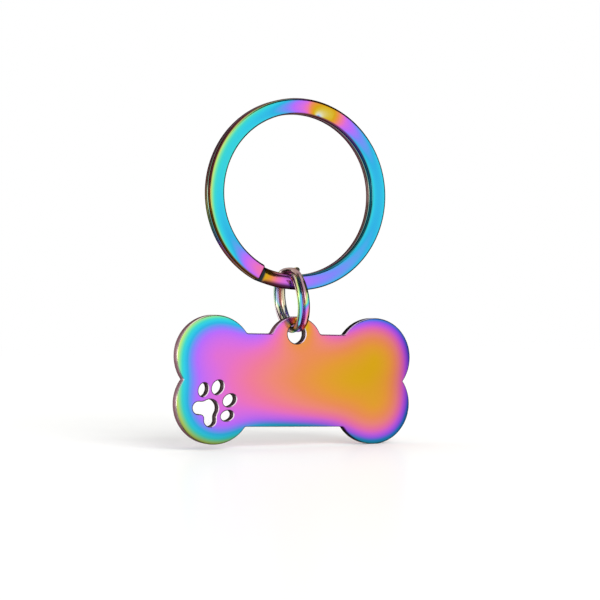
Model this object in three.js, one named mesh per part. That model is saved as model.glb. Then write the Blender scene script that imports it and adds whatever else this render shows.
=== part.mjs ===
// Bone-shaped pet tag on two split rings: a flat-wire key ring, a small round-wire link ring, and a
// bone plate with a paw cut-out that hangs from the link ring by the hole in its tab.
// Millimetres, +Z up, the plate faces -Y. The origin is where the part hangs: inside the key ring's top.

import * as THREE from 'three';

// Key ring
const KEY_OUTSIDE = 30; // outside diameter
const KEY_BAND_WIDTH = 2.5; // flat wire, across the ring
const KEY_BAND_THICKNESS = 1.05; // flat wire, along the ring's axis
const KEY_BAND_CORNER = 0.25; // rounding of the wire's long edges
const KEY_TURN_GAP = 0.42; // between the two turns
const KEY_CRANK_AT = -10.5; // middle of the crank, degrees from the lowest point towards +X
const KEY_CRANK_SPAN = 29; // degrees
const KEY_CRANK_WIDTH = 2; // the wire is drawn narrower where it is bent
const KEY_FRONT_END = 15; // degrees by which the front turn stops short of the crank's middle
const KEY_BACK_END = 15; // the same for the back turn

// Link ring
const LINK_OUTSIDE = 10.3; // outside diameter
const LINK_WIRE = 0.75; // round wire
const LINK_TURN_GAP = 0.42;
const LINK_CRANK_AT = 180; // at the ring's crest
const LINK_CRANK_SPAN = 40;
const LINK_FRONT_END = 22.5;
const LINK_BACK_END = 37.5;
const LINK_LEAN = 8; // degrees, crest towards -X

// Bone plate
const PLATE_THICKNESS = 1.5;
const EDGE_BREAK = 0.12; // chamfer round the outline, the hole and the cut-outs
const LOBE_RADIUS = 6.35;
const LOBE_X = 13.65; // lobe centres from the middle of the bone
const LOBE_Z = 3.7;
const BODY_HEIGHT = 14.6; // between the bone's straight edges
const LOBE_FILLET = 0.45; // where a lobe runs into a straight edge
const TAB_RADIUS = 4.4;
const TAB_FILLET = 0.5;
const TAB_WEB = 1.1; // metal between the hole and the tab's top
const HOLE_DIAMETER = 3.2;
const HOLE_Z = 7.35; // hole centre above the middle of the bone

// Paw cut-out, measured along and across the paw from the middle of its pad
const PAW_FROM_LOBE = new THREE.Vector2(-1.25, -1.05); // pad from the lower left lobe's centre
const PAW_TURN = 45; // degrees from +X in which the toes point
const PAW_ORIGIN = new THREE.Vector2();
const PAD_FRONT = { along: 0.55, across: 0, radius: 1.4 };
const PAD_HEEL = { along: -0.72, across: 1.35, radius: 0.98 };
const PAD_SIDE_FILLET = 0.3; // between the front circle and a heel
const PAD_HEEL_FILLET = 0.7; // between the heels
const INNER_TOE = { along: 3.74, across: 1.42, long: 1.17, short: 0.92, splay: 14 };
const OUTER_TOE = { along: 1.79, across: 2.84, long: 1.08, short: 0.79, splay: 28 };

// Play between a ring and what hangs on it
const SEAT_GAP = 0.3;

// Facets
const KEY_STEP = 5; // degrees of turn in one step of the wire
const LINK_STEP = 7.5;
const CORNER_SEGMENTS = 1;
const ROUND_WIRE_SEGMENTS = 6;
const OUTLINE_SEGMENTS = 10;
const PAW_SEGMENTS = 8;

const rad = THREE.MathUtils.degToRad;
const deg = THREE.MathUtils.radToDeg;

// Centre line of a split ring about the Y axis. From its front end the wire makes almost a turn at the
// front, steps back in the crank and makes almost a turn behind. Angles run from the lowest point to +X.
class SplitRingWire extends THREE.Curve {
  constructor({ outside, width, pitch, crankAt, crankSpan, crankWidth, frontEnd, backEnd, step }) {
    super();
    this.radius = (outside - width) / 2;
    this.offset = pitch / 2;
    this.crankAt = crankAt;
    this.crankHalf = crankSpan / 2;
    this.crankScale = crankWidth / width;
    this.start = frontEnd - 360;
    this.sweep = 720 - frontEnd - backEnd;
    this.steps = Math.round(this.sweep / step);
  }

  // Degrees travelled from the crank's middle, in units of half the crank, kept to -1 and 1 outside it
  crankShare(travel) {
    return THREE.MathUtils.clamp(travel / this.crankHalf, -1, 1);
  }

  axial(travel) {
    const share = this.crankShare(travel);
    return this.offset * share * (3 - share ** 2) / 2;
  }

  sectionScale(travel) {
    return THREE.MathUtils.lerp(this.crankScale, 1, this.crankShare(travel) ** 4);
  }

  travelAt(t) {
    return this.start + this.sweep * t;
  }

  outward(t) {
    const angle = rad(this.crankAt - this.travelAt(t));
    return new THREE.Vector3(Math.sin(angle), 0, -Math.cos(angle));
  }

  getPoint(t, target = new THREE.Vector3()) {
    return target.copy(this.outward(t)).multiplyScalar(this.radius).setY(this.axial(this.travelAt(t)));
  }

  // Steps are even in angle, so the points of the two turns lie side by side
  getPointAt(t, target) {
    return this.getPoint(t, target);
  }

  // The wire's flat stays square to the ring's axis, and the section is scaled across the ring
  computeFrenetFrames(steps) {
    const shares = Array.from({ length: steps + 1 }, (_, i) => i / steps);
    const normals = shares.map((t) => this.outward(t).multiplyScalar(this.sectionScale(this.travelAt(t))));
    const binormals = shares.map(() => new THREE.Vector3(0, -1, 0));
    const tangents = normals.map((normal, i) => normal.clone().cross(binormals[i]).normalize());
    return { tangents, normals, binormals };
  }

  extrude(section, curveSegments) {
    return new THREE.ExtrudeGeometry(section, { steps: this.steps, curveSegments, extrudePath: this });
  }

  // Least distance between surface points that are half a turn or more apart along the wire
  leastTurnGap(section, curveSegments) {
    const outline = section.getPoints(curveSegments);
    const frames = this.computeFrenetFrames(this.steps);
    const rings = this.getSpacedPoints(this.steps).map((centre, i) => outline.map((p) => centre.clone()
      .addScaledVector(frames.normals[i], p.x)
      .addScaledVector(frames.binormals[i], p.y)));
    const apart = Math.ceil(this.steps * 180 / this.sweep);
    let least = Infinity;
    for (let i = 0; i + apart < rings.length; i += 1) {
      for (const q of rings.slice(i + apart).flat()) {
        for (const p of rings[i]) {
          least = Math.min(least, p.distanceTo(q));
        }
      }
    }
    return least;
  }
}

function metal(color, roughness) {
  return new THREE.MeshStandardMaterial({ color, roughness, metalness: 1 });
}

function namedMesh(name, geometry, material) {
  const mesh = new THREE.Mesh(geometry, material);
  mesh.name = name;
  return mesh;
}

// Key ring: flat wire with rounded edges
const keyWire = new SplitRingWire({
  outside: KEY_OUTSIDE,
  width: KEY_BAND_WIDTH,
  pitch: KEY_BAND_THICKNESS + KEY_TURN_GAP,
  crankAt: KEY_CRANK_AT,
  crankSpan: KEY_CRANK_SPAN,
  crankWidth: KEY_CRANK_WIDTH,
  frontEnd: KEY_FRONT_END,
  backEnd: KEY_BACK_END,
  step: KEY_STEP,
});

function roundedBar(width, thickness, corner) {
  const x = width / 2 - corner;
  const y = thickness / 2 - corner;
  const bar = new THREE.Shape();
  bar.absarc(x, y, corner, 0, Math.PI / 2);
  bar.absarc(-x, y, corner, Math.PI / 2, Math.PI);
  bar.absarc(-x, -y, corner, Math.PI, 1.5 * Math.PI);
  bar.absarc(x, -y, corner, 1.5 * Math.PI, 2 * Math.PI);
  return bar;
}

const keyCentreZ = KEY_BAND_WIDTH / 2 - keyWire.radius;
const keySection = roundedBar(KEY_BAND_WIDTH, KEY_BAND_THICKNESS, KEY_BAND_CORNER);
const keyGeometry = keyWire.extrude(keySection, CORNER_SEGMENTS);
const keyRing = namedMesh('key_ring', keyGeometry, metal(0x3fb4d8, 0.2));
keyRing.position.z = keyCentreZ;

// Link ring: round wire, square to the key ring, its crest over the key ring's crank
const linkWire = new SplitRingWire({
  outside: LINK_OUTSIDE,
  width: LINK_WIRE,
  pitch: LINK_WIRE + LINK_TURN_GAP,
  crankAt: LINK_CRANK_AT,
  crankSpan: LINK_CRANK_SPAN,
  crankWidth: LINK_WIRE,
  frontEnd: LINK_FRONT_END,
  backEnd: LINK_BACK_END,
  step: LINK_STEP,
});

const lean = rad(LINK_LEAN);
const halfRise = linkWire.radius * Math.cos(lean); // ring centre to the crest or to the lowest point
const turnRise = linkWire.offset * Math.sin(lean); // how far the lean lifts one turn and drops the other
const crestX = -2 * linkWire.radius * Math.sin(lean);
const seatTravel = KEY_CRANK_AT - deg(Math.asin(crestX / keyWire.radius));
const seatRadius = keyWire.radius - KEY_BAND_WIDTH / 2 * keyWire.sectionScale(seatTravel);
const hangY = keyWire.axial(seatTravel);
const seatZ = keyCentreZ - Math.sqrt(seatRadius ** 2 - crestX ** 2);
const linkCentreZ = seatZ + SEAT_GAP + LINK_WIRE / 2 + turnRise - halfRise;

const linkSection = new THREE.Shape().absarc(0, 0, LINK_WIRE / 2, 0, 2 * Math.PI);
const linkGeometry = linkWire.extrude(linkSection, ROUND_WIRE_SEGMENTS);
const linkRing = namedMesh('link_ring', linkGeometry, metal(0xb59a86, 0.2));
linkRing.position.set(crestX / 2, hangY, linkCentreZ);
linkRing.rotation.set(0, -lean, Math.PI / 2);

// Fillet between a circle that stands out of the bone's straight edge and that edge, right or left of it
function edgeFillet(circleX, circleZ, circleRadius, fillet, side) {
  const z = BODY_HEIGHT / 2 + fillet;
  const x = circleX + side * Math.sqrt((circleRadius + fillet) ** 2 - (z - circleZ) ** 2);
  return { x, z, angle: Math.atan2(z - circleZ, x - circleX) };
}

// Bone outline, anticlockwise from the notch at its right end
function boneOutline(tabZ) {
  const bone = new THREE.Shape();
  const notch = Math.asin(LOBE_Z / LOBE_RADIUS);
  const lobe = edgeFillet(LOBE_X, LOBE_Z, LOBE_RADIUS, LOBE_FILLET, -1);
  const tab = edgeFillet(0, tabZ, TAB_RADIUS, TAB_FILLET, 1);
  const lobeMirrored = Math.PI - lobe.angle;
  const down = -Math.PI / 2;
  const up = Math.PI / 2;
  bone.absarc(LOBE_X, LOBE_Z, LOBE_RADIUS, -notch, lobe.angle);
  bone.absarc(lobe.x, lobe.z, LOBE_FILLET, lobe.angle - Math.PI, down, true);
  bone.absarc(tab.x, tab.z, TAB_FILLET, down, tab.angle - Math.PI, true);
  bone.absarc(0, tabZ, TAB_RADIUS, tab.angle, Math.PI - tab.angle);
  bone.absarc(-tab.x, tab.z, TAB_FILLET, -tab.angle, down, true);
  bone.absarc(-lobe.x, lobe.z, LOBE_FILLET, down, -lobe.angle, true);
  bone.absarc(-LOBE_X, LOBE_Z, LOBE_RADIUS, lobeMirrored, Math.PI + notch);
  bone.absarc(-LOBE_X, -LOBE_Z, LOBE_RADIUS, Math.PI - notch, 2 * Math.PI - lobeMirrored);
  bone.absarc(-lobe.x, -lobe.z, LOBE_FILLET, lobe.angle, up, true);
  bone.absarc(lobe.x, -lobe.z, LOBE_FILLET, up, lobeMirrored, true);
  bone.absarc(LOBE_X, -LOBE_Z, LOBE_RADIUS, -lobe.angle, notch);
  return bone;
}

// Circle of a given radius that touches two others from outside, on the right of the way between them
function touchingCircle(one, other, radius) {
  const way = other.centre.clone().sub(one.centre);
  const reach = one.radius + radius;
  const cosine = (reach ** 2 + way.lengthSq() - (other.radius + radius) ** 2) / (2 * reach * way.length());
  const offset = new THREE.Vector2(reach, 0).rotateAround(PAW_ORIGIN, way.angle() - Math.acos(cosine));
  return { centre: one.centre.clone().add(offset), radius };
}

// Outline round a ring of circles, anticlockwise, with a fillet where one circle gives way to the next
function roundedOutline(circles) {
  const angleTo = (from, to) => to.centre.clone().sub(from.centre).angle();
  const nexts = circles.map((_, i) => circles[(i + 1) % circles.length]);
  const fillets = circles.map((circle, i) => touchingCircle(circle, nexts[i], circle.filletAfter));
  const outline = new THREE.Path();
  circles.forEach((circle, i) => {
    const before = fillets.at(i - 1);
    const after = fillets[i];
    const { x, y } = circle.centre;
    outline.absarc(x, y, circle.radius, angleTo(circle, before), angleTo(circle, after));
    const start = angleTo(after, circle);
    outline.absarc(after.centre.x, after.centre.y, after.radius, start, angleTo(after, nexts[i]), true);
  });
  return outline;
}

// Pad of the paw, pointing along +X: a front circle and two heel circles
function padOutline() {
  const circle = (part, side, filletAfter) => (
    { centre: new THREE.Vector2(part.along, side * part.across), radius: part.radius, filletAfter });
  return roundedOutline([
    circle(PAD_FRONT, 0, PAD_SIDE_FILLET),
    circle(PAD_HEEL, 1, PAD_HEEL_FILLET),
    circle(PAD_HEEL, -1, PAD_SIDE_FILLET),
  ]);
}

function toeOutline(toe, side) {
  const y = side * toe.across;
  const turn = rad(side * toe.splay);
  return new THREE.Path().absellipse(toe.along, y, toe.long, toe.short, 0, 2 * Math.PI, false, turn);
}

// Turns an outline of the paw to where the toes point and sets it in the lower left lobe
function inLobe(outline) {
  const pawCentre = new THREE.Vector2(-LOBE_X, -LOBE_Z).add(PAW_FROM_LOBE);
  const turned = outline.getPoints(PAW_SEGMENTS).map((p) => p.rotateAround(PAW_ORIGIN, rad(PAW_TURN)));
  return new THREE.Path(turned.map((p) => p.add(pawCentre)));
}

// Bone plate: stamped outline with chamfered edges. The hole's rim rests on the link ring's higher turn.
const holeRadius = HOLE_DIAMETER / 2;
const faceDrop = Math.sqrt(linkWire.radius ** 2 - (PLATE_THICKNESS / 2) ** 2) * Math.cos(lean);
const highTurn = { x: linkWire.offset * Math.cos(lean), z: linkCentreZ - faceDrop + turnRise };
const turnReach = holeRadius - LINK_WIRE / 2 - SEAT_GAP;
const holeCentreZ = highTurn.z - Math.sqrt(turnReach ** 2 - highTurn.x ** 2);

const plate = boneOutline(HOLE_Z + holeRadius + TAB_WEB - TAB_RADIUS);
plate.holes.push(
  new THREE.Path().absarc(0, HOLE_Z, holeRadius, 0, 2 * Math.PI),
  inLobe(padOutline()),
  inLobe(toeOutline(OUTER_TOE, 1)),
  inLobe(toeOutline(INNER_TOE, 1)),
  inLobe(toeOutline(INNER_TOE, -1)),
  inLobe(toeOutline(OUTER_TOE, -1)),
);
const plateDepth = PLATE_THICKNESS - 2 * EDGE_BREAK;
const plateGeometry = new THREE.ExtrudeGeometry(plate, {
  depth: plateDepth,
  curveSegments: OUTLINE_SEGMENTS,
  bevelThickness: EDGE_BREAK,
  bevelSize: EDGE_BREAK,
  bevelOffset: -EDGE_BREAK,
  bevelSegments: 1,
}).translate(0, 0, -plateDepth / 2);
const boneTag = namedMesh('bone_tag', plateGeometry, metal(0xd87aa8, 0.18));
boneTag.position.set(0, hangY, holeCentreZ - HOLE_Z);
boneTag.rotation.x = Math.PI / 2;

const keyGap = keyWire.leastTurnGap(keySection, CORNER_SEGMENTS);
const linkGap = linkWire.leastTurnGap(linkSection, ROUND_WIRE_SEGMENTS);
console.log(`least gap between turns: key ring ${keyGap.toFixed(2)} mm, link ring ${linkGap.toFixed(2)} mm`);

export default new THREE.Group().add(keyRing, linkRing, boneTag);
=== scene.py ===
from math import acos, asin, atan2, ceil, cos, hypot, pi, radians, sin, sqrt

import bmesh
import bpy
from mathutils import Matrix, Vector
from mathutils.kdtree import KDTree


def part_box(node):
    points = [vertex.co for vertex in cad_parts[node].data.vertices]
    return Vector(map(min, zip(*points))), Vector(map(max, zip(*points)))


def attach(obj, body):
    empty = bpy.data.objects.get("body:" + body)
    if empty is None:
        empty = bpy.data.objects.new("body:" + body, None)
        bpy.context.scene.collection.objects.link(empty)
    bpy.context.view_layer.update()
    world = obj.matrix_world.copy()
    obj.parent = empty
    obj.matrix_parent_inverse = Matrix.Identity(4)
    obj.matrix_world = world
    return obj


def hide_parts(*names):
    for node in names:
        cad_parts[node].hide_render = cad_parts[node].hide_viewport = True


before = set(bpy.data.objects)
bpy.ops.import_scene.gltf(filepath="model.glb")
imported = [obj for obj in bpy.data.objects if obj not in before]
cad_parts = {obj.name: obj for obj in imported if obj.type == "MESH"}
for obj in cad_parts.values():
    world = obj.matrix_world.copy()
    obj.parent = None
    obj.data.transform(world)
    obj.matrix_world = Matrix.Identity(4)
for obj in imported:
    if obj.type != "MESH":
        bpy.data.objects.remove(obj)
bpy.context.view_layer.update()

# Bone tag: one plate of stainless steel sheet, stamped with the hang hole and the paw, tumbled until its
# edges are softly round, mirror polished and given a rainbow coat in a vacuum chamber. It hangs by the
# hole in its tab and faces -Y. Lengths are millimetres from the middle of the bone.
MM = 0.001
PLATE_THICKNESS = 1.75
EDGE_ROUND = 0.22
EDGE_STEPS = 5
CHAMFER_WIDTH = 0.14  # the countersunk edge of the hole and the paw
CHAMFER_DEPTH = 0.08
LOBE_RADIUS = 6.35
LOBE_X = 13.65
LOBE_Z = 3.7
BODY_HEIGHT = 14.6
LOBE_FILLET = 0.45
TAB_RADIUS = 4.4
TAB_FILLET = 0.5
TAB_WEB = 1.2  # metal between the hole and the tab's top
HOLE_RADIUS = 1.55
HOLE_Z = 7.3
TAB_Z = HOLE_Z + HOLE_RADIUS + TAB_WEB - TAB_RADIUS
PAW_FROM_LOBE = Vector((-1.14, 0, -1.12))  # the paw's middle from the centre of the lower left lobe
PAW_TURN = 45  # degrees from +X in which the toes point
PAD_FRONT = Vector((0.55, 0, 0))  # the pad's circles, along and across the paw
PAD_FRONT_RADIUS = 1.4
PAD_HEEL = Vector((-0.72, 0, 1.35))
PAD_HEEL_RADIUS = 0.98
PAD_SIDE_FILLET = 1.5
PAD_HEEL_FILLET = 0.7
INNER_TOE = {"along": 3.74, "across": 1.42, "size": (1.17, 0.92), "splay": 14}
OUTER_TOE = {"along": 1.79, "across": 2.84, "size": (1.08, 0.79), "splay": 28}
ARC_STEP = 3  # degrees in one step of an arc, and the fewest steps in an arc
ARC_LEAST = 4
ROUND_STEP = 6  # degrees in one step of a full circle or ellipse
TOLERANCE = 0.001
FACING = Vector((0, -1, 0))
FLAT = 0.9999  # how square to Y a face is that is shaded flat
WALL = 0.5  # the walls of the blank are less square to Y than this, and its faces more
FACE_SLOT, EDGE_SLOT, CUT_SLOT, CHAMFER_SLOT = range(4)
UPRIGHT = Matrix.Rotation(pi / 2, 4, "X")  # turns a drawing in the XY plane to face -Y


def draw_line(bm, vert, end):
    """Draws a straight edge from a vertex and gives the vertex at its end."""
    drawn = bmesh.ops.extrude_vert_indiv(bm, verts=[vert])["verts"]
    bmesh.ops.translate(bm, verts=drawn, vec=end - vert.co)
    return drawn[0]


def draw_arc(bm, vert, centre, towards, way):
    """Spins a vertex about a centre until it lies towards a point, anticlockwise for way 1."""
    start = vert.co - centre
    stop = towards - centre
    turn = way * ((atan2(stop.z, stop.x) - atan2(start.z, start.x)) * way % (2 * pi))
    steps = max(ARC_LEAST, ceil(abs(turn) / radians(ARC_STEP)))
    spun = bmesh.ops.spin(bm, geom=[vert], cent=centre, axis=FACING, angle=turn, steps=steps)
    return next(part for part in spun["geom_last"] if isinstance(part, bmesh.types.BMVert))


def mirror_drawing(bm, axis):
    drawn = bm.verts[:] + bm.edges[:]
    bmesh.ops.mirror(bm, geom=drawn, matrix=Matrix(), merge_dist=TOLERANCE, axis=axis)


def beside(x, z, radius, fillet, side):
    """Centre of the fillet between a circle and the bone's upper straight edge, right or left of it."""
    up = BODY_HEIGHT / 2 + fillet
    return Vector((x + side * sqrt((radius + fillet) ** 2 - (up - z) ** 2), 0, up))


def draw_bone(bm):
    """The right half from the lower edge's middle up to the tab's top, then the left half as its mirror."""
    lower_lobe = Vector((LOBE_X, 0, -LOBE_Z))
    upper_lobe = Vector((LOBE_X, 0, LOBE_Z))
    notch = Vector((LOBE_X + sqrt(LOBE_RADIUS ** 2 - LOBE_Z ** 2), 0, 0))
    upper_fillet = beside(LOBE_X, LOBE_Z, LOBE_RADIUS, LOBE_FILLET, -1)
    lower_fillet = Vector((upper_fillet.x, 0, -upper_fillet.z))
    tab = Vector((0, 0, TAB_Z))
    tab_fillet = beside(0, TAB_Z, TAB_RADIUS, TAB_FILLET, 1)
    edge = Vector((0, 0, BODY_HEIGHT / 2))
    tip = bm.verts.new(-edge)
    tip = draw_line(bm, tip, Vector((lower_fillet.x, 0, -edge.z)))
    tip = draw_arc(bm, tip, lower_fillet, lower_lobe, -1)
    tip = draw_arc(bm, tip, lower_lobe, notch, 1)
    tip = draw_arc(bm, tip, upper_lobe, upper_fillet, 1)
    tip = draw_arc(bm, tip, upper_fillet, upper_fillet - edge, -1)
    tip = draw_line(bm, tip, Vector((tab_fillet.x, 0, edge.z)))
    tip = draw_arc(bm, tip, tab_fillet, tab, -1)
    draw_arc(bm, tip, tab, tab + edge, 1)
    mirror_drawing(bm, "X")


def draw_pad(bm):
    """Half of the pad, round its front and one heel, then its mirror. The toes lie along +X."""
    way = PAD_HEEL - PAD_FRONT
    reach = PAD_FRONT_RADIUS + PAD_SIDE_FILLET
    far_reach = PAD_HEEL_RADIUS + PAD_SIDE_FILLET
    opening = acos((reach ** 2 + way.length_squared - far_reach ** 2) / (2 * reach * way.length))
    bearing = atan2(way.z, way.x) - opening
    side_fillet = PAD_FRONT + reach * Vector((cos(bearing), 0, sin(bearing)))
    heel_back = sqrt((PAD_HEEL_RADIUS + PAD_HEEL_FILLET) ** 2 - PAD_HEEL.z ** 2)
    heel_fillet = Vector((PAD_HEEL.x - heel_back, 0, 0))
    tip = bm.verts.new(PAD_FRONT + Vector((PAD_FRONT_RADIUS, 0, 0)))
    tip = draw_arc(bm, tip, PAD_FRONT, side_fillet, 1)
    tip = draw_arc(bm, tip, side_fillet, PAD_HEEL, -1)
    tip = draw_arc(bm, tip, PAD_HEEL, heel_fillet, 1)
    draw_arc(bm, tip, heel_fillet, PAD_FRONT, -1)
    mirror_drawing(bm, "Z")


def draw_round(bm, centre, size, turn=0):
    """A circle or an ellipse in the plate's plane."""
    segments = round(360 / ROUND_STEP)
    place = Matrix.Translation(centre) @ Matrix.Rotation(turn, 4, FACING) @ UPRIGHT
    shape = place @ Matrix.Diagonal((*size, 1, 1))
    bmesh.ops.create_circle(bm, radius=1, segments=segments, matrix=shape)


def draw_paw(bm):
    draw_pad(bm)
    for toe in (INNER_TOE, OUTER_TOE):
        for side in (1, -1):
            centre = Vector((toe["along"], 0, side * toe["across"]))
            draw_round(bm, centre, toe["size"], radians(side * toe["splay"]))
    to_lobe = Matrix.Translation(Vector((-LOBE_X, 0, -LOBE_Z)) + PAW_FROM_LOBE)
    turn = Matrix.Rotation(radians(PAW_TURN), 4, FACING)
    bmesh.ops.transform(bm, verts=bm.verts[:], matrix=to_lobe @ turn)


def draw_hole(bm):
    draw_round(bm, Vector((0, 0, HOLE_Z)), (HOLE_RADIUS, HOLE_RADIUS))


def drawing(*draws):
    """A mesh of edges with each of the drawings in it."""
    mesh = bpy.data.meshes.new("drawing")
    for draw in draws:
        bm = bmesh.new()
        draw(bm)
        bm.from_mesh(mesh)
        bm.to_mesh(mesh)
        bm.free()
    return mesh


def round_over(bm, faces):
    """Raises faces out of the plate in small insets that follow a quarter round."""
    for step in range(EDGE_STEPS):
        before = radians(90) * step / EDGE_STEPS
        after = radians(90) * (step + 1) / EDGE_STEPS
        inset = EDGE_ROUND * (cos(before) - cos(after))
        rise = EDGE_ROUND * (sin(after) - sin(before))
        bmesh.ops.inset_region(bm, faces=faces, thickness=inset, depth=rise, use_boundary=True,
                               use_even_offset=True)


def chamfer_cut_outs(bm, cut):
    """Draws the rounding of the hole and the paw in to a small flat chamfer, as a countersink leaves it."""
    wall_top = PLATE_THICKNESS / 2 - EDGE_ROUND
    walls = [vert.co for vert in bm.verts if vert[cut] and abs(vert.co.y) < wall_top + TOLERANCE]
    tree = KDTree(len(walls))
    for i, spot in enumerate(walls):
        tree.insert(spot, i)
    tree.balance()
    shares = {}
    for vert in bm.verts:
        side = 1 if vert.co.y > 0 else -1
        foot = Vector((vert.co.x, side * wall_top, vert.co.z))
        wall_at, _, away = tree.find(foot)
        if away > EDGE_ROUND + TOLERANCE:
            continue
        rise = max(0, min(1, (abs(vert.co.y) - wall_top) / EDGE_ROUND))
        share = asin(rise) / (pi / 2)
        outwards = (foot - wall_at).normalized() * CHAMFER_WIDTH * share
        height = PLATE_THICKNESS / 2 - CHAMFER_DEPTH * (1 - share)
        vert.co = Vector((wall_at.x + outwards.x, side * height, wall_at.z + outwards.z))
        shares[vert] = share
    # What lies at least half a step below the plate's face is the chamfer.
    for face in bm.faces:
        lowest = min(shares.get(vert, 1) for vert in face.verts)
        if face.material_index == FACE_SLOT and lowest < 1 - 1 / (2 * EDGE_STEPS):
            face.material_index = CHAMFER_SLOT


def make_piece(bm, name, place, materials, flats=True):
    """Turns a finished bmesh in millimetres into an object in place, smooth but for any flats square to Y."""
    bmesh.ops.recalc_face_normals(bm, faces=bm.faces[:])
    for face in bm.faces:
        face.smooth = not flats or abs(face.normal.y) < FLAT
    bmesh.ops.transform(bm, verts=bm.verts[:], matrix=place @ Matrix.Scale(MM, 4))
    mesh = bpy.data.meshes.new(name)
    bm.to_mesh(mesh)
    bm.free()
    for material in materials:
        mesh.materials.append(material)
    piece = bpy.data.objects.new(name, mesh)
    bpy.context.collection.objects.link(piece)
    return piece


def linear(code):
    """Linear RGBA of an sRGB hex colour."""
    shares = [int(code[i:i + 2], 16) / 255 for i in (0, 2, 4)]
    return [s / 12.92 if s <= 0.04045 else ((s + 0.055) / 1.055) ** 2.4 for s in shares] + [1]


def add(tree, kind, inputs=None, **settings):
    """Adds a node, sets it, and sets its inputs to values or links them to other nodes.

    Inputs go by name or by number. A colour Mix node has its colours at inputs 6 and 7 and its result at
    output 2.
    """
    made = tree.nodes.new("ShaderNode" + kind)
    for name, value in settings.items():
        setattr(made, name, value)
    for socket, value in (inputs or {}).items():
        if isinstance(value, bpy.types.Node):
            value = value.outputs[0]
        if isinstance(value, bpy.types.NodeSocket):
            tree.links.new(value, made.inputs[socket])
        else:
            made.inputs[socket].default_value = value
    return made


WHITE = "FFFFFF"


def steel(name, roughness, colour=WHITE, edge=WHITE):
    """A metal material and its shader. edge is the tint of its reflections at a flat angle."""
    material = bpy.data.materials.new(name)
    material.use_nodes = True
    shader = material.node_tree.nodes["Principled BSDF"]
    shader.inputs["Metallic"].default_value = 1
    shader.inputs["Roughness"].default_value = roughness
    shader.inputs["Base Color"].default_value = linear(colour)
    shader.inputs["Specular Tint"].default_value = linear(edge)
    return material, shader


# The coat's colours from bare steel up to its thickest, as interference gives them in order. Thickness 0
# is the gold of a thin coat, 1 the turquoise of a full one, and past the lime the colours come round again.
COAT_COLOURS = (
    (-0.8, "5FA8DC"), (-0.55, "C9DDEE"), (-0.3, "E3DCAA"), (-0.12, "DABF3C"), (0, "D9A71A"),
    (0.12, "E69B39"), (0.22, "EC8F57"), (0.32, "F0897A"), (0.42, "F17C9C"), (0.52, "EC74C0"),
    (0.6, "DC6FE0"), (0.75, "B96EFD"), (0.85, "7F8AFB"), (0.95, "33B4E6"), (1.04, "35CEE7"),
    (1.12, "40D9D0"), (1.2, "78E5AC"), (1.36, "D2F070"), (1.5, "D2B98A"), (1.68, "AC7C96"),
    (1.9, "A5736A"),
)
FULL_COAT = 1.4  # the plate's coat stops just past the lime
COAT_EDGE = "58504C"  # the coat swallows most of the light that glances off it


def coat_colour(tree, thickness):
    """The colour of the coat for a thickness, as a node."""
    thinnest = COAT_COLOURS[0][0]
    thickest = COAT_COLOURS[-1][0]
    share = add(tree, "MapRange", {"Value": thickness, "From Min": thinnest, "From Max": thickest})
    colours = add(tree, "ValToRGB", {0: share})
    stops = colours.color_ramp.elements
    for stop, code in COAT_COLOURS[1:-1]:
        stops.new((stop - thinnest) / (thickest - thinnest)).color = linear(code)
    stops[0].color = linear(COAT_COLOURS[0][1])
    stops[-1].color = linear(COAT_COLOURS[-1][1])
    return colours


# Rainbow-coated mirror steel, sputtered in a vacuum: the coat grows thicker towards the rim, from gold in
# the middle of the right end through rose and violet to turquoise and lime, and thinner round the hole,
# where the hook of the rack held the plate.
COAT_REACH = 1.908  # millimetres in which the rim's extra coat fades
RIM_END = 17.19  # where the rim begins at the ends and at the straight edges
RIM_EDGE = 8.08
RIM_COAT = 1.13
RIM_COAT_SLOPE = (0.0075, 0, -0.006)  # per millimetre
THIN_MIDDLE = Vector((13.29, 0, 1.17))
THIN_SIZE = Vector((2.7, 0, 2))
THIN_COAT = -0.136
COAT_GAIN = 0.0673
TAB_RIM = 1.6  # the tab's rim has less extra coat, as if it lay this much further out
HOOK_FROM_HOLE = Vector((0.6, 0, 1.55))
HOOK_THINNING = -1.35
HOOK_REACH = 1.2
FACE_ROUGHNESS = 0.16
RIM_SHADE = 0.715  # painted shade: how much darker the rim is, and how that changes across the plate
RIM_SHADE_SLOPE = (0.0396, 0, -0.1)
RIM_SHADE_DEPTH = 1.55
RIM_SHADE_TINT = "BC00FF"  # the rim's painted shade is tinted, and towards the right its colours come out purer
RIM_SHADE_TINT_MIDDLE = -0.32
RIM_SHADE_TINT_SLOPE = (0.06, 0, 0.006)
ROUND_LIGHT = 0.5  # where the edge turns over it is painted darker, as shade, and pale towards the upper left, as a highlight
ROUND_HIGHLIGHT = "F2DCEC"
ROUND_HIGHLIGHT_SHARE = 0.65
ROUND_FROM = 0.97  # how square to Y the surface is where the painted shade and highlight begin, and where they are full
ROUND_FULL = 0.72
UPPER_LEFT = (-0.7, 0, 0.7)
HIGHLIGHT_FROM = 0.1  # how far it turns to the upper left where the painted highlight begins, and where it is brightest
HIGHLIGHT_FULL = 0.5


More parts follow.
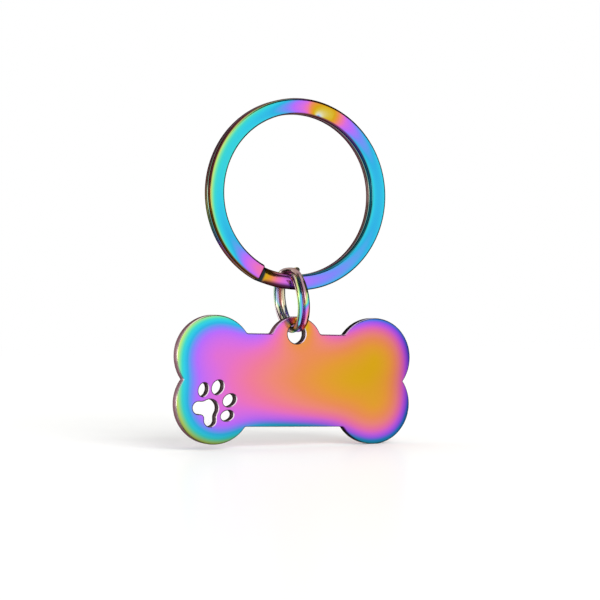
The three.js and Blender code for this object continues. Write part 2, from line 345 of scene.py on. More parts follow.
def coat_on_plate(tree, middle):
    """Thickness of the coat and the rim's share, from the place on the plate."""
    spot = add(tree, "TexCoord").outputs["Object"]
    shift = Vector((-middle.x, 0, -middle.z)) / MM
    on_plate = add(tree, "Mapping", {0: spot, "Location": shift, "Scale": (1 / MM, 0, 1 / MM)})
    # The bone's four quarters are alike, so the place is folded into one of them.
    folded = add(tree, "VectorMath", {0: on_plate}, operation="ABSOLUTE")
    inside = []
    fade = 1 / COAT_REACH
    for place, centre, radius in (
        (folded, (LOBE_X, 0, LOBE_Z), LOBE_RADIUS),
        (folded, (LOBE_X, 0, -LOBE_Z), LOBE_RADIUS),
        (on_plate, (0, 0, TAB_Z), TAB_RADIUS + TAB_RIM),
    ):
        away = add(tree, "VectorMath", {0: place, 1: centre}, operation="DISTANCE").outputs["Value"]
        depth = add(tree, "Math", {0: away, 1: -fade, 2: radius * fade}, operation="MULTIPLY_ADD")
        inside.append(add(tree, "Math", {0: depth}, operation="EXPONENT"))
    sides = []
    across = add(tree, "SeparateXYZ", {0: folded})
    for side, limit in (("X", RIM_END), ("Z", RIM_EDGE)):
        past = across.outputs[side]
        past = add(tree, "Math", {0: past, 1: fade, 2: -limit * fade}, operation="MULTIPLY_ADD")
        sides.append(add(tree, "Math", {0: past}, operation="EXPONENT"))
    body = add(tree, "Math", {0: sides[0], 1: sides[1]}, operation="ADD")
    depth = add(tree, "Math", {0: 1, 1: body}, operation="DIVIDE")
    for part in inside:
        depth = add(tree, "Math", {0: depth, 1: part}, operation="ADD")
    rim = add(tree, "Math", {0: 1, 1: depth}, operation="DIVIDE")

    # The distance from the thinnest spot counts in spot sizes, and is rounded off near its middle.
    scale = Vector((1 / THIN_SIZE.x, 0, 1 / THIN_SIZE.z))
    shift = Vector((-THIN_MIDDLE.x / THIN_SIZE.x, 1, -THIN_MIDDLE.z / THIN_SIZE.z))
    from_thin = add(tree, "Mapping", {0: on_plate, "Location": shift, "Scale": scale})
    distance = add(tree, "VectorMath", {0: from_thin}, operation="LENGTH").outputs["Value"]
    coat = add(tree, "Math", {0: distance, 1: COAT_GAIN, 2: THIN_COAT}, operation="MULTIPLY_ADD")

    slope = add(tree, "VectorMath", {0: on_plate, 1: RIM_COAT_SLOPE}, operation="DOT_PRODUCT")
    extra = add(tree, "Math", {0: slope.outputs["Value"], 1: RIM_COAT}, operation="ADD")
    coat = add(tree, "Math", {0: extra, 1: rim, 2: coat}, operation="MULTIPLY_ADD")

    hook_at = Vector((0, 0, HOLE_Z)) + HOOK_FROM_HOLE
    away = add(tree, "VectorMath", {0: on_plate, 1: hook_at}, operation="DISTANCE").outputs["Value"]
    hook = add(tree, "Math", {0: away, 1: -1 / HOOK_REACH}, operation="MULTIPLY")
    hook = add(tree, "Math", {0: hook}, operation="EXPONENT")
    coat = add(tree, "Math", {0: hook, 1: HOOK_THINNING, 2: coat}, operation="MULTIPLY_ADD")
    return on_plate, coat, rim


def coated_face(middle):
    material, shader = steel("rainbow-coated mirror steel, plate", FACE_ROUGHNESS, edge=COAT_EDGE)
    tree = material.node_tree
    on_plate, coat, rim = coat_on_plate(tree, middle)
    coat = add(tree, "Math", {0: coat, 1: FULL_COAT}, operation="MINIMUM")
    colour = coat_colour(tree, coat)
    # Painted shade: the rim is darkened, more towards the right and the bottom, and that shade is tinted.
    slope = add(tree, "VectorMath", {0: on_plate, 1: RIM_SHADE_SLOPE}, operation="DOT_PRODUCT")
    shade = add(tree, "Math", {0: slope.outputs["Value"], 1: RIM_SHADE}, operation="ADD", use_clamp=True)
    steep = add(tree, "Math", {0: rim, 1: rim}, operation="MULTIPLY")
    shade = add(tree, "Math", {0: shade, 1: steep}, operation="MULTIPLY")
    light = add(tree, "Math", {0: shade, 1: -RIM_SHADE_DEPTH, 2: 1}, operation="MULTIPLY_ADD")
    shaded = add(tree, "VectorMath", {0: colour, "Scale": light}, operation="SCALE")
    slope = add(tree, "VectorMath", {0: on_plate, 1: RIM_SHADE_TINT_SLOPE}, operation="DOT_PRODUCT")
    shade_tint_share = add(tree, "Math", {0: slope.outputs["Value"], 1: RIM_SHADE_TINT_MIDDLE}, operation="ADD", use_clamp=True)
    shade_tint_share = add(tree, "Math", {0: shade_tint_share, 1: rim}, operation="MULTIPLY")
    tint = add(tree, "Mix", {0: shade_tint_share, 6: linear(WHITE), 7: linear(RIM_SHADE_TINT)}, data_type="RGBA")
    shaded = add(tree, "VectorMath", {0: shaded, 1: tint.outputs[2]}, operation="MULTIPLY")
    # Where the edge turns over: painted shade, and a painted highlight where it faces the upper left.
    normal = add(tree, "TexCoord").outputs["Normal"]
    facing = add(tree, "SeparateXYZ", {0: normal}).outputs["Y"]
    square = add(tree, "Math", {0: facing}, operation="ABSOLUTE")
    square = add(tree, "MapRange", {"Value": square, "From Min": ROUND_FULL, "From Max": ROUND_FROM})
    raised = add(tree, "VectorMath", {0: normal, 1: UPPER_LEFT}, operation="DOT_PRODUCT").outputs["Value"]
    turned = {"Value": raised, "From Min": HIGHLIGHT_FROM, "From Max": HIGHLIGHT_FULL}
    pale = add(tree, "MapRange", {**turned, "To Max": ROUND_HIGHLIGHT_SHARE})
    light = add(tree, "MapRange", {**turned, "To Min": ROUND_LIGHT})
    with_painted_shading = add(tree, "VectorMath", {0: shaded, "Scale": light}, operation="SCALE")
    with_painted_shading = add(tree, "Mix", {0: pale, 6: with_painted_shading, 7: linear(ROUND_HIGHLIGHT)}, data_type="RGBA")
    tone = add(tree, "Mix", {0: square, 6: with_painted_shading.outputs[2], 7: shaded}, data_type="RGBA")
    tree.links.new(tone.outputs[2], shader.inputs["Base Color"])
    return material


# Satin stamped edge: mauve on the left, going over to dark grey on the right, a painted shade that darkens
# the edge towards the right.
EDGE_ROUGHNESS = 0.35
EDGE_LIGHT_UNTIL = -13  # across the plate, where the edge is last at its lightest and where its painted shade is full
EDGE_SHADE_FROM = 9
LIT_EDGE = "B4929A"
SHADED_EDGE = "484444"


def stamped_edge():
    material, shader = steel("satin stamped edge, plate", EDGE_ROUGHNESS, edge=COAT_EDGE)
    tree = material.node_tree
    # painted shade: the edge goes from mauve on the left to dark grey on the right
    across = add(tree, "SeparateXYZ", {0: add(tree, "TexCoord").outputs["Object"]}).outputs["X"]
    share = add(tree, "MapRange", {"Value": across, "From Min": EDGE_LIGHT_UNTIL * MM, "From Max": EDGE_SHADE_FROM * MM})
    tone = add(tree, "Mix", {0: share, 6: linear(LIT_EDGE), 7: linear(SHADED_EDGE)}, data_type="RGBA")
    tree.links.new(tone.outputs[2], shader.inputs["Base Color"])
    return material


# Dull stamped steel: the walls of the hole and the paw stay as the punch left them, grey and matt.
CUT_ROUGHNESS = 0.45
CUT_STEEL = "6A6060"

# Bright steel chamfer: the countersunk edge of the cut-outs has a fine bright line, a painted highlight,
# where it faces up and to the left, and is painted dark elsewhere, as shade.
CHAMFER_ROUGHNESS = 0.2
CHAMFER_HIGHLIGHT = "F4E0EE"
CHAMFER_SHADE = "4A3848"
CHAMFER_HIGHLIGHT_FULL = 0.25  # how far it turns to the upper left where it is brightest


def highlighted_chamfer():
    material, shader = steel("rubbed bright steel, chamfer", CHAMFER_ROUGHNESS, edge=COAT_EDGE)
    tree = material.node_tree
    # painted highlight where the chamfer faces the upper left, painted shade elsewhere
    normal = add(tree, "TexCoord").outputs["Normal"]
    raised = add(tree, "VectorMath", {0: normal, 1: UPPER_LEFT}, operation="DOT_PRODUCT").outputs["Value"]
    share = add(tree, "MapRange", {"Value": raised, "From Min": 0, "From Max": CHAMFER_HIGHLIGHT_FULL})
    tone = add(tree, "Mix", {0: share, 6: linear(CHAMFER_SHADE), 7: linear(CHAMFER_HIGHLIGHT)}, data_type="RGBA")
    tree.links.new(tone.outputs[2], shader.inputs["Base Color"])
    return material


plate_low, plate_high = [Vector(corner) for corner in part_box("bone_tag")]
bone_middle = (plate_low + plate_high) / 2
bone_middle.z = plate_low.z + (LOBE_Z + LOBE_RADIUS) * MM

bm = bmesh.new()
bm.from_mesh(drawing(draw_paw, draw_hole))
cut = bm.verts.layers.int.new("cut out")
for vert in bm.verts:
    vert[cut] = 1
bm.from_mesh(drawing(draw_bone))
wall = PLATE_THICKNESS - 2 * EDGE_ROUND
bmesh.ops.triangle_fill(bm, edges=bm.edges[:], use_beauty=True, normal=FACING)
slab = bmesh.ops.extrude_face_region(bm, geom=bm.faces[:])["geom"]
back_verts = [part for part in slab if isinstance(part, bmesh.types.BMVert)]
bmesh.ops.translate(bm, verts=back_verts, vec=(0, wall, 0))
bmesh.ops.translate(bm, verts=bm.verts[:], vec=(0, -wall / 2, 0))
bmesh.ops.recalc_face_normals(bm, faces=bm.faces[:])
for face in bm.faces:
    if abs(face.normal.y) < WALL:
        face.material_index = CUT_SLOT if all(vert[cut] for vert in face.verts) else EDGE_SLOT
for side in (-1, 1):
    round_over(bm, [face for face in bm.faces if face.normal.y * side > WALL])
chamfer_cut_outs(bm, cut)
bone_tag = make_piece(bm, "bone_plate", Matrix.Translation(bone_middle), [
    coated_face(bone_middle),
    stamped_edge(),
    steel("dull stamped edge, cut-outs", CUT_ROUGHNESS, CUT_STEEL, COAT_EDGE)[0],
    highlighted_chamfer(),
])
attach(bone_tag, "tag")
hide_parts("bone_tag")

# Link ring: almost two turns of round spring wire, closed up tight and coated like the plate. It passes
# through the plate's hole and round the key ring's wire, square to the key ring, and leans a little.
LINK_OUTSIDE = 10.3
LINK_WIRE = 0.94
LINK_SEGMENTS = 24
LINK_END_ROUND = LINK_WIRE / 8
LINK_TURN_GAP = 0.06
LINK_CRANK_AT = 180  # degrees from straight down
LINK_CRANK_SPAN = 40  # degrees, as are the lengths by which the two ends fall short of a full turn
LINK_FRONT_END = 15
LINK_BACK_END = 37.5
LINK_BENT_SPAN = 35  # the front end stands off the turn beside it, so that a nail can prise the ring open
LINK_BENT_ASIDE = 1.6
LINK_BENT_OUT = 0.08
LINK_SPREAD = 0.04  # the turns stand a little apart at the near side, past this travel
LINK_SPREAD_FROM = 180
LINK_LEAN = 8
WIRE_STEP = 2.5  # degrees of turn in one step of a wire
END_STEPS = 4


def wind_ring(bm, radius, pitch, crank_at, crank_span, front_end, back_end, end_round):
    """Winds the section that lies in the XY plane, +X outwards, into a split ring about the Y axis.

    Travel is in degrees from the crank's middle, and each vertex keeps it for the coat. Gives the layer
    with the travel and the function that places a section.
    """
    along = bm.verts.layers.float.new("travel")
    start = front_end - 360
    sweep = 720 - front_end - back_end
    steps = round(sweep / WIRE_STEP)
    step = sweep / steps

    def axial(travel):
        share = max(-1, min(1, travel / (crank_span / 2)))
        return pitch / 2 * share * (3 - share ** 2) / 2

    def place(travel):
        turn = Matrix.Rotation(radians(90 - crank_at + travel), 4, "Y")
        return Matrix.Translation((0, axial(travel), 0)) @ turn @ Matrix.Translation((radius, 0, 0))

    bmesh.ops.transform(bm, verts=bm.verts[:], matrix=place(start))
    for vert in bm.verts:
        vert[along] = start
    section = bm.faces[:] + bm.edges[:] + bm.verts[:]
    end_edges = bm.edges[:]
    for i in range(steps):
        before = start + step * i
        after = before + step
        rise = (0, axial(after) - axial(before), 0)
        spun = bmesh.ops.spin(bm, geom=section, cent=(0, 0, 0), axis=(0, 1, 0), angle=radians(step),
                              steps=1, dvec=rise)
        section = spun["geom_last"]
        for part in section:
            if isinstance(part, bmesh.types.BMVert):
                part[along] = after
    end_edges += [part for part in section if isinstance(part, bmesh.types.BMEdge)]
    bmesh.ops.bevel(bm, geom=end_edges, offset=end_round, offset_type="OFFSET", segments=END_STEPS,
                    profile=0.5, affect="EDGES", clamp_overlap=True, material=-1)
    return along, place


def coated_wire(name, roughness):
    """A metal material and its shader, with its tree and the travel along the wire."""
    material, shader = steel(name, roughness, edge=COAT_EDGE)
    tree = material.node_tree
    travel = add(tree, "Attribute", attribute_name="travel").outputs["Fac"]
    return material, shader, tree, travel


def curve_along(tree, travel, points):
    """A smooth curve of coat thickness over travel, through a few chosen points."""
    low = points[0][0]
    high = points[-1][0]
    share = add(tree, "MapRange", {"Value": travel, "From Min": low, "From Max": high})
    curve = add(tree, "FloatCurve", {"Value": share})
    line = curve.mapping.curves[0]
    thickest = COAT_COLOURS[-1][0]
    spots = [((at - low) / (high - low), value / thickest) for at, value in points]
    line.points[0].location = spots[0]
    line.points[1].location = spots[-1]
    for spot in spots[1:-1]:
        line.points.new(*spot)
    curve.mapping.update()
    return add(tree, "Math", {0: curve, 1: thickest}, operation="MULTIPLY")


# Rainbow-coated drawn wire: the coat grew unevenly on the wound ring, so its colours change fast along the
# wire, and it is thin on the far side, where the steel shows through. Each pair is a travel and a thickness.
LINK_ROUGHNESS = 0.2
LINK_COAT = (
    (-345, -0.2), (-265, -0.2), (-240, -0.7), (-215, -0.5), (-180, 0.5), (-125, 0.3), (-95, 1.12),
    (-50, 1.6), (-5, 1.75), (30, 0.7), (50, 0.75), (85, 0.8), (105, 1.2), (150, 1.35), (215, 0.9),
    (255, 0.88), (285, 1.08), (323, 1.57),
)
LINK_SIDE_COAT = -0.45  # the change of coat from the wire's front to its right side
LINK_STEEL = "E8E6E2"  # bare drawn steel, which shows through the thin coat
LINK_BARE_FRONT = 0.1  # the share of bare steel at the front and at the back
LINK_BARE_BACK = 0.55

link_low, link_high = [Vector(corner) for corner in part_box("link_ring")]
link_middle = (link_low + link_high) / 2
bm = bmesh.new()
bmesh.ops.create_circle(bm, cap_ends=True, radius=LINK_WIRE / 2, segments=LINK_SEGMENTS)
along, place = wind_ring(bm, (LINK_OUTSIDE - LINK_WIRE) / 2, LINK_WIRE + LINK_TURN_GAP, LINK_CRANK_AT,
                         LINK_CRANK_SPAN, LINK_FRONT_END, LINK_BACK_END, LINK_END_ROUND)
for vert in bm.verts:
    bent = max(0, 1 - (vert[along] - LINK_FRONT_END + 360) / LINK_BENT_SPAN) ** 2
    outwards = Vector((vert.co.x, 0, vert.co.z)).normalized()
    vert.co += bent * (LINK_BENT_OUT * outwards + LINK_BENT_ASIDE * FACING)
    past = max(0, vert[along] - LINK_SPREAD_FROM)
    vert.co -= LINK_SPREAD * sin(radians(past)) * FACING
across_key_ring = Matrix.Rotation(radians(-LINK_LEAN), 4, "Y") @ Matrix.Rotation(pi / 2, 4, "Z")
material, shader, tree, travel = coated_wire("rainbow-coated spring wire, link ring", LINK_ROUGHNESS)
coat = curve_along(tree, travel, LINK_COAT)
spot = add(tree, "TexCoord")
facing = add(tree, "SeparateXYZ", {0: spot.outputs["Normal"]})
coat = add(tree, "Math", {0: facing.outputs["X"], 1: LINK_SIDE_COAT, 2: coat}, operation="MULTIPLY_ADD")
depth = add(tree, "SeparateXYZ", {0: spot.outputs["Object"]}).outputs["Y"]
bare = add(tree, "MapRange", {"Value": depth, "From Min": link_low.y, "From Max": link_high.y,
                              "To Min": LINK_BARE_FRONT, "To Max": LINK_BARE_BACK})
pale = add(tree, "Mix", {0: bare, 6: coat_colour(tree, coat), 7: linear(LINK_STEEL)}, data_type="RGBA")
tree.links.new(pale.outputs[2], shader.inputs["Base Color"])
link_place = Matrix.Translation(link_middle) @ across_key_ring
link_ring = make_piece(bm, "link_ring_wire", link_place, [material], flats=False)
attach(link_ring, "link_ring")
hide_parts("link_ring")

# Key ring: almost two turns of flat spring wire, pressed flat so that the turns lie on each other, with a
# crank where the wire steps from the front turn to the back one. Polished and coated as the plate is.
KEY_OUTSIDE = 30.3
KEY_BAND_WIDTH = 2.5
KEY_BAND_THICKNESS = 1.25
KEY_BAND_CORNER = 0.4
KEY_CORNER_STEPS = 5
KEY_TURN_GAP = 0.06
KEY_CRANK_AT = -10.5
KEY_CRANK_SPAN = 29
KEY_CRANK_WIDTH = 2.4
KEY_CRANK_THICKNESS = 1.6
KEY_CRANK_RISE = 0.05  # the crank lies this much nearer to the ring's middle
KEY_CRANK_BLEND = 4  # how suddenly the round crank runs out into the flat wire, as a power
KEY_FRONT_END = 15
KEY_BACK_END = 15
KEY_FLAT_CUTS = 7  # points along each flat, which the crank bends round

# Rainbow-coated mirror steel, pressed wire: the coat runs from turquoise on the left through violet and rose
# to gold at the top, where the rack held the ring, and back to blue on the right. The drawn sides have their
# own coat colours and are painted dark, as shade, darkest on the front turn. Each pair is a travel and a
# thickness.
KEY_ROUGHNESS = 0.14
KEY_COAT = (
    (-345, 0.4), (-335, 0.55), (-325, 0.78), (-318, 0.87), (-300, 0.94), (-260, 1.02), (-220, 0.94),
    (-205, 0.84), (-194, 0.65), (-186, 0.44), (-183, 0.14), (-176, -0.12), (-171, -0.17), (-165, 0.04),
    (-160, 0.4), (-154.5, 0.64), (-146, 0.77), (-138, 0.84), (-110, 0.93), (-70, 0.9), (-40, 0.82),
    (-17, 0.74), (-2, 0.55), (3, 0.42), (9, 0), (14, -0.1), (22, 0.1), (60, 0.7), (180, 0.95), (300, 0.9),
    (345, 0.5),
)
KEY_SIDE_COAT = (
    (-345, 0.3), (-312, 0), (-296, 0), (-268, 0.38), (-190, 0.3), (-150, 0.75), (-95, 1.02), (-30, 1.05),
    (0, 0.45), (9, 0), (20, 0), (50, 0.95), (85, 1.52), (155, 1.85), (260, 1.56), (345, 1.85),
)
KEY_OUTER_COAT = 0.33  # the coat is thicker along the band's edges, most at the upper left outside
KEY_OUTER_REACH = 0.6
KEY_OUTER_SLOPE = (-0.01, 0, 0.004)
KEY_INNER_COAT = 0.22
KEY_INNER_REACH = 0.4
KEY_INNER_SLOPE = (0.004, 0, 0)
KEY_HOOK_AT = radians(166.5)  # where the rack's hook left the steel almost bare
KEY_HOOK_REACH = 0.42
KEY_HOOK_THINNING = 1.4
KEY_FRONT_SIDE_SHADE = "2E2A28"  # painted shade on the sides of the front turn and of the back turn
KEY_BACK_SIDE_SHADE = "5E4852"
KEY_SIDE_SHADE_SHARE = 0.8
KEY_SIDE_FROM = 0.97  # how square to Y the surface is where the sides begin, and where they are full
KEY_SIDE_FULL = 0.7
KEY_UNDERSIDE_SHADE = "3A1622"  # painted shade, dark maroon, on the crank's underside
KEY_UNDERSIDE_SHARE = 0.9
KEY_UNDERSIDE_SPAN = 12  # degrees either way from the crank's middle, the last few of them fading
KEY_UNDERSIDE_FADE = 2
KEY_UNDERSIDE_FROM = -0.12  # how far the surface turns up where the underside begins, and where it is full
KEY_UNDERSIDE_FULL = -0.42
KEY_END_SHADOW = (10.8, 12, 16)  # the travel where the painted shadow of the front end on the crank begins, where it is full and where it ends
KEY_END_SHADOW_COLOUR = "2A3438"

key_low, key_high = [Vector(corner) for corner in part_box("key_ring")]
key_middle = (key_low + key_high) / 2
key_middle.z = key_high.z - (key_high.x - key_low.x) / 2
bm = bmesh.new()
bmesh.ops.create_grid(bm, x_segments=1, y_segments=1, size=0.5)
bmesh.ops.scale(bm, vec=(KEY_BAND_WIDTH, KEY_BAND_THICKNESS, 1), verts=bm.verts[:])
bmesh.ops.bevel(bm, geom=bm.verts[:], offset=KEY_BAND_CORNER, offset_type="OFFSET",
                segments=KEY_CORNER_STEPS, profile=0.5, affect="VERTICES", material=-1)
flats = [edge for edge in bm.edges if edge.calc_length() > KEY_BAND_CORNER]
bmesh.ops.bisect_edges(bm, edges=flats, cuts=KEY_FLAT_CUTS)
along, place = wind_ring(bm, (KEY_OUTSIDE - KEY_BAND_WIDTH) / 2, KEY_BAND_THICKNESS + KEY_TURN_GAP,
                         KEY_CRANK_AT, KEY_CRANK_SPAN, KEY_FRONT_END, KEY_BACK_END, KEY_BAND_CORNER)
for vert in bm.verts:
    pressed = 1 - min(1, abs(vert[along]) / (KEY_CRANK_SPAN / 2)) ** KEY_CRANK_BLEND
    flat = place(vert[along]).inverted() @ vert.co
    round_reach = hypot(flat.x / (KEY_CRANK_WIDTH / 2), flat.y / (KEY_CRANK_THICKNESS / 2))
    rounded = flat / round_reach - Vector((KEY_CRANK_RISE, 0, 0))
    vert.co = place(vert[along]) @ flat.lerp(rounded, pressed)
material, shader, tree, travel = coated_wire("rainbow-coated mirror steel, key ring", KEY_ROUGHNESS)
coat = curve_along(tree, travel, KEY_COAT)
spot = add(tree, "TexCoord")
to_ring = {"Location": -key_middle / MM, "Scale": (1 / MM, 1 / MM, 1 / MM)}
on_ring = add(tree, "Mapping", {0: spot.outputs["Object"], **to_ring})
flat_on_ring = add(tree, "VectorMath", {0: on_ring, 1: (1, 0, 1)}, operation="MULTIPLY")
radius = add(tree, "VectorMath", {0: flat_on_ring}, operation="LENGTH").outputs["Value"]
outside = KEY_OUTSIDE / 2
inside = outside - KEY_BAND_WIDTH
for limit, reach, gain, slope in (
    (outside, KEY_OUTER_REACH, KEY_OUTER_COAT, KEY_OUTER_SLOPE),
    (inside, -KEY_INNER_REACH, KEY_INNER_COAT, KEY_INNER_SLOPE),
):
    slope = add(tree, "VectorMath", {0: on_ring, 1: slope}, operation="DOT_PRODUCT").outputs["Value"]
    gain = add(tree, "Math", {0: slope, 1: gain}, operation="ADD")
    near = add(tree, "Math", {0: radius, 1: 1 / reach, 2: -limit / reach}, operation="MULTIPLY_ADD")
    near = add(tree, "Math", {0: near}, operation="EXPONENT")
    coat = add(tree, "Math", {0: near, 1: gain, 2: coat}, operation="MULTIPLY_ADD")
hook = Vector((sin(KEY_HOOK_AT), 0, -cos(KEY_HOOK_AT))) * inside
away = add(tree, "VectorMath", {0: flat_on_ring, 1: hook}, operation="DISTANCE").outputs["Value"]
bare = add(tree, "Math", {0: away, 1: -1 / KEY_HOOK_REACH}, operation="MULTIPLY")
bare = add(tree, "Math", {0: bare}, operation="EXPONENT")
coat = add(tree, "Math", {0: bare, 1: -KEY_HOOK_THINNING, 2: coat}, operation="MULTIPLY_ADD")
side_on = add(tree, "SeparateXYZ", {0: spot.outputs["Normal"]})
front_on = add(tree, "Math", {0: side_on.outputs["Y"]}, operation="ABSOLUTE")
front_on = add(tree, "MapRange", {"Value": front_on, "From Min": KEY_SIDE_FULL, "From Max": KEY_SIDE_FROM})
side_colour = coat_colour(tree, curve_along(tree, travel, KEY_SIDE_COAT))
# Painted shade on the sides, darker on the front turn than on the back turn.
in_front = add(tree, "Math", {0: travel, 1: 0}, operation="LESS_THAN")
dull = {6: linear(KEY_BACK_SIDE_SHADE), 7: linear(KEY_FRONT_SIDE_SHADE)}
dull = add(tree, "Mix", {0: in_front, **dull}, data_type="RGBA").outputs[2]
side = add(tree, "Mix", {0: KEY_SIDE_SHADE_SHARE, 6: side_colour, 7: dull}, data_type="RGBA").outputs[2]
with_painted_shading = add(tree, "Mix", {0: front_on, 6: side, 7: coat_colour(tree, coat)}, data_type="RGBA")
# Painted shade on the crank's underside.
cranked = add(tree, "Math", {0: travel}, operation="ABSOLUTE")
fade = {"From Min": KEY_UNDERSIDE_SPAN, "From Max": KEY_UNDERSIDE_SPAN - KEY_UNDERSIDE_FADE}
cranked = add(tree, "MapRange", {"Value": cranked, **fade})
down = {"From Min": KEY_UNDERSIDE_FROM, "From Max": KEY_UNDERSIDE_FULL, "To Max": KEY_UNDERSIDE_SHARE}
under = add(tree, "MapRange", {"Value": side_on.outputs["Z"], **down})
under = add(tree, "Math", {0: under, 1: cranked}, operation="MULTIPLY")
with_painted_shading = add(tree, "Mix", {0: under, 6: with_painted_shading.outputs[2], 7: linear(KEY_UNDERSIDE_SHADE)}, data_type="RGBA")
# Painted shadow of the front end on the crank, on the front of the wire only.
first, full, last = KEY_END_SHADOW
painted_shading = add(tree, "MapRange", {"Value": travel, "From Min": first, "From Max": full})
for value, limit in ((travel, last), (side_on.outputs["Y"], 0)):
    within = add(tree, "Math", {0: value, 1: limit}, operation="LESS_THAN")
    painted_shading = add(tree, "Math", {0: painted_shading, 1: within}, operation="MULTIPLY")
with_painted_shading = add(tree, "Mix", {0: painted_shading, 6: with_painted_shading.outputs[2], 7: linear(KEY_END_SHADOW_COLOUR)}, data_type="RGBA")
tree.links.new(with_painted_shading.outputs[2], shader.inputs["Base Color"])
key_ring = make_piece(bm, "key_ring_wire", Matrix.Translation(key_middle), [material])
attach(key_ring, "key_ring")
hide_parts("key_ring")

# Floor: a pale satin table top that the lower right lobe touches. It keeps the shadow and a faint reflection,
# and runs out into the white room. Lengths are metres.
FLOOR_SIZE = 2
FLOOR_TILT = radians(1.9)  # the tag leans by this much in the photograph
FLOOR_GLOW = 0.05  # lifts the floor to the white of the room, as the camera sees it
FLOOR_NEAR = 0.22  # distances from the object between which the table top runs out
FLOOR_FAR = 0.7
FLOOR_COLOUR = "F8F8F6"
FLOOR_GLOSS = 0.1
FLOOR_ROUGHNESS = 0.2
touch = Vector((LOBE_X * MM, bone_middle.y, plate_low.z))
bm = bmesh.new()
bmesh.ops.create_grid(bm, x_segments=1, y_segments=1, size=FLOOR_SIZE / 2)
floor_place = Matrix.Translation(touch) @ Matrix.Rotation(-FLOOR_TILT, 4, "Y")
bmesh.ops.transform(bm, verts=bm.verts[:], matrix=floor_place)
mesh = bpy.data.meshes.new("floor")
bm.to_mesh(mesh)
bm.free()
floor = bpy.data.objects.new("floor", mesh)
bpy.context.collection.objects.link(floor)
material = bpy.data.materials.new("pale satin table top")
material.use_nodes = True
tree = material.node_tree
tree.nodes.clear()
diffuse = add(tree, "BsdfDiffuse", {"Color": linear(FLOOR_COLOUR)})
gloss = add(tree, "BsdfAnisotropic", {"Color": linear(WHITE), "Roughness": FLOOR_ROUGHNESS})
satin = add(tree, "MixShader", {0: FLOOR_GLOSS, 1: diffuse, 2: gloss})
seen = add(tree, "LightPath").outputs["Is Camera Ray"]
seen = add(tree, "Math", {0: seen, 1: FLOOR_GLOW}, operation="MULTIPLY")
glow = add(tree, "Emission", {"Color": linear(WHITE), "Strength": seen})
satin = add(tree, "AddShader", {0: satin, 1: glow})
spot = add(tree, "TexCoord").outputs["Object"]
away = add(tree, "VectorMath", {0: spot, 1: touch}, operation="DISTANCE").outputs["Value"]
gone = add(tree, "MapRange", {"Value": away, "From Min": FLOOR_NEAR, "From Max": FLOOR_FAR})
satin = add(tree, "MixShader", {0: gone, 1: satin, 2: add(tree, "BsdfTransparent")})
add(tree, "OutputMaterial", {"Surface": satin})
mesh.materials.append(material)
floor.visible_glossy = False

# Light: a white room for the mirror metal, dimmer on matt surfaces, and one wide soft lamp from the front.
# Dark cards and two softboxes round the object, which only the metal shows, give the polished edges their
# dark and bright lines.
ROOM_LIGHT = 0.72
LAMP_ANGLE = radians(35)
LAMP_STRENGTH = 3.6
LAMP_WAY = Vector((0.03, 0.95, -0.3))
world = bpy.data.worlds.new("white room")
world.use_nodes = True
bpy.context.scene.world = world
tree = world.node_tree
tree.nodes.clear()
path = add(tree, "LightPath")
shown = path.outputs["Is Camera Ray"]
for ray in ("Is Glossy Ray", "Is Transmission Ray"):
    shown = add(tree, "Math", {0: shown, 1: path.outputs[ray]}, operation="MAXIMUM")
strength = add(tree, "MapRange", {"Value": shown, "To Min": ROOM_LIGHT, "To Max": 1})
room = add(tree, "Background", {"Color": linear(WHITE), "Strength": strength})
add(tree, "OutputWorld", {"Surface": room})

lamp_data = bpy.data.lights.new("soft lamp", "SUN")
lamp_data.angle = LAMP_ANGLE
lamp_data.energy = LAMP_STRENGTH
lamp = bpy.data.objects.new("soft lamp", lamp_data)
lamp.rotation_euler = LAMP_WAY.to_track_quat("-Z", "Y").to_euler()
lamp.visible_glossy = False
bpy.context.collection.objects.link(lamp)

LOOK_UP = -29.1486 * MM  # the height that the camera looks at, and round which the cards stand
CARD_DISTANCE = 0.45
CARD_STEPS = 24
TALL = (-60, -30, 0, 30, 60)  # elevations of a card, in degrees
HIGH = (22, 36, 50, 64)
NARROW = (-9, 9)
BLACK_CARD = 0.02  # strengths of their light
GREY_CARD = 0.04
SOFTBOX = 3.5
WEAK_SOFTBOX = 2.5


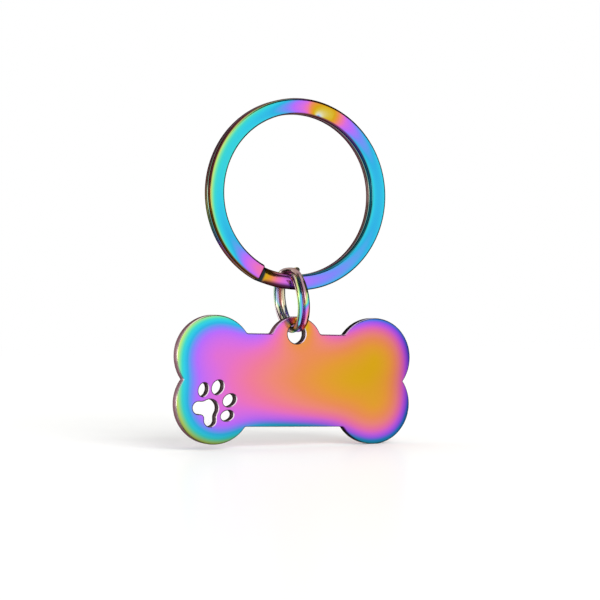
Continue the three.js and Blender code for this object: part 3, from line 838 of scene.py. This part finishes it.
def card(name, azimuths, elevations, tone):
    """A curved card round the object, seen only in the metal. Azimuths run from -Y to +X, in degrees."""
    bm = bmesh.new()
    start, stop = [radians(azimuth) for azimuth in azimuths]
    verts = []
    for elevation in elevations:
        height = CARD_DISTANCE * sin(radians(elevation))
        reach = CARD_DISTANCE * cos(radians(elevation))
        verts.append(bm.verts.new((reach * sin(start), -reach * cos(start), height)))
    edges = [bm.edges.new(pair) for pair in zip(verts, verts[1:])]
    bmesh.ops.spin(bm, geom=verts + edges, cent=(0, 0, 0), axis=(0, 0, 1), angle=stop - start,
                   steps=CARD_STEPS)
    bmesh.ops.translate(bm, verts=bm.verts[:], vec=(0, 0, LOOK_UP))
    mesh = bpy.data.meshes.new(name)
    bm.to_mesh(mesh)
    bm.free()
    paint = bpy.data.materials.new(name)
    paint.use_nodes = True
    paint.node_tree.nodes.clear()
    glow = add(paint.node_tree, "Emission", {"Color": linear(WHITE), "Strength": tone})
    add(paint.node_tree, "OutputMaterial", {"Surface": glow})
    mesh.materials.append(paint)
    made = bpy.data.objects.new(name, mesh)
    bpy.context.collection.objects.link(made)
    made.visible_camera = False
    made.visible_diffuse = False
    made.visible_shadow = False
    made.visible_transmission = False


card("card right", (58, 116), TALL, BLACK_CARD)
card("card left", (-122, -78), TALL, BLACK_CARD)
card("card above", (0, 116), HIGH, GREY_CARD)
card("softbox left", (-76, -52), NARROW, SOFTBOX)
card("softbox behind left", (-147, -126), NARROW, WEAK_SOFTBOX)

# Camera: the photograph's viewing angle, a long lens at about a third of a metre.
CAMERA_AZIMUTH = radians(-23.7965)
CAMERA_ELEVATION = radians(-0.7101)
CAMERA_ROLL = radians(1.108)
CAMERA_DISTANCE = 331.47 * MM
CAMERA_LENS = 126
CAMERA_SENSOR = 36
CAMERA_CLIP = 0.01
LOOK_RIGHT = 0.8866 * MM

back = Vector((sin(CAMERA_AZIMUTH) * cos(CAMERA_ELEVATION), -cos(CAMERA_AZIMUTH) * cos(CAMERA_ELEVATION),
               sin(CAMERA_ELEVATION)))
right = Vector((cos(CAMERA_AZIMUTH), sin(CAMERA_AZIMUTH), 0))
look_at = right * LOOK_RIGHT + Vector((0, 0, LOOK_UP))
camera_data = bpy.data.cameras.new("camera")
camera_data.sensor_width = CAMERA_SENSOR
camera_data.lens = CAMERA_LENS
camera_data.clip_start = CAMERA_CLIP
camera = bpy.data.objects.new("camera", camera_data)
facing = Matrix((right, back.cross(right), back)).transposed().to_4x4()
roll = Matrix.Rotation(CAMERA_ROLL, 4, "Z")
camera.matrix_world = Matrix.Translation(look_at + back * CAMERA_DISTANCE) @ facing @ roll
bpy.context.collection.objects.link(camera)
bpy.context.scene.camera = camera
bpy.context.scene.view_settings.view_transform = "Standard"
